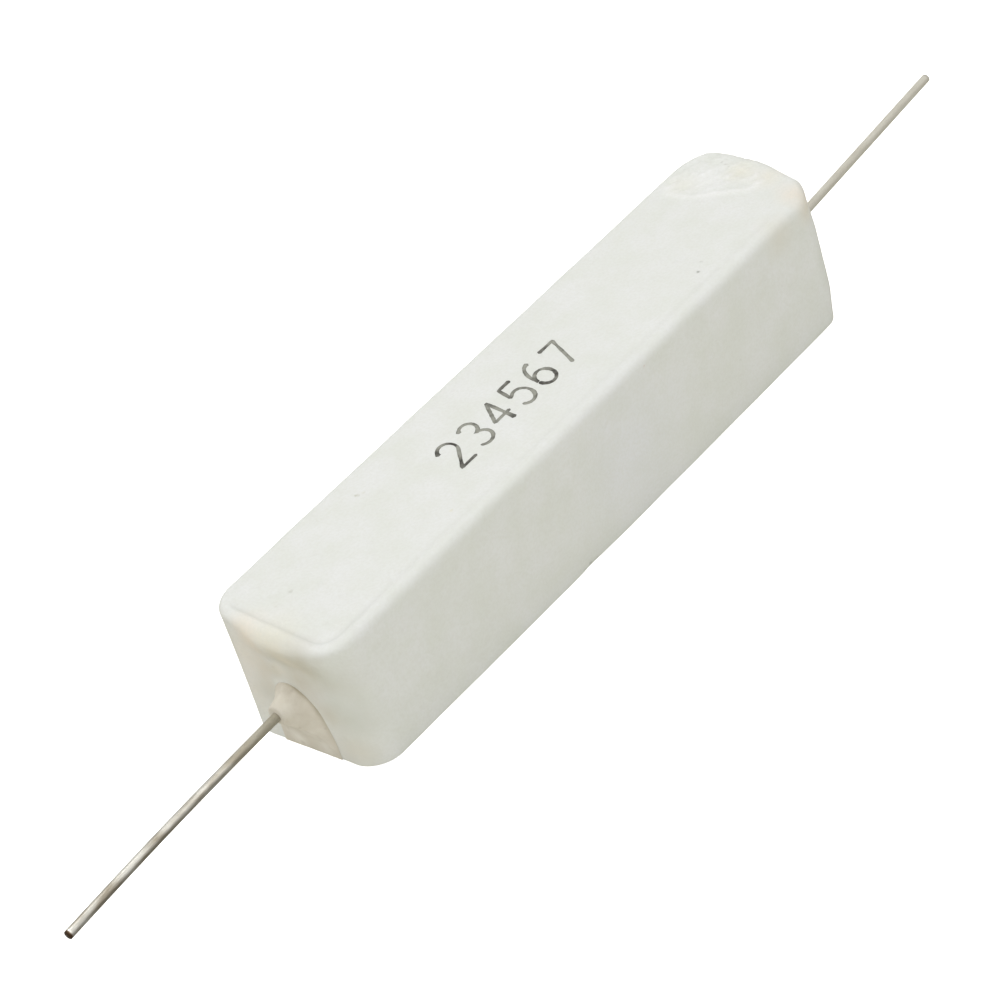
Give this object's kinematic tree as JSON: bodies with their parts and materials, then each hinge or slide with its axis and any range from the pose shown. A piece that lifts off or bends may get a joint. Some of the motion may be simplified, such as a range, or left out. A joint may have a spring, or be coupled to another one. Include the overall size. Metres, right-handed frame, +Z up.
{
  "type": "axial resistor",
  "caption": "Long square-section ceramic block filled with cement, with one straight tinned wire lead out of each end.",
  "frame": {"origin": "middle of the flat, open, cement-filled face that the resistor rests on", "axes": "+X along the case, from the near lead to the far lead; +Z up, towards the closed marked face"},
  "size_m": [0.087, 0.011, 0.0096],
  "materials": {
    "white_ceramic": "matt fired white, finely pitted",
    "potting_cement": "dull beige, slightly grainy",
    "core_ceramic": "plain fired",
    "resistance_alloy": "drawn wire, dull",
    "cap_steel": "pressed and plated",
    "tinned_wire": "tinned copper-clad steel, drawn, slightly dulled"
  },
  "bodies": {
    "root": {"ceramic_case": "white_ceramic", "cement_fill": "potting_cement", "core_rod": "core_ceramic", "resistance_wire": "resistance_alloy", "end_cap_near": "cap_steel", "end_cap_far": "cap_steel", "lead_near": "tinned_wire", "lead_far": "tinned_wire"}
  },
  "joints": []
}
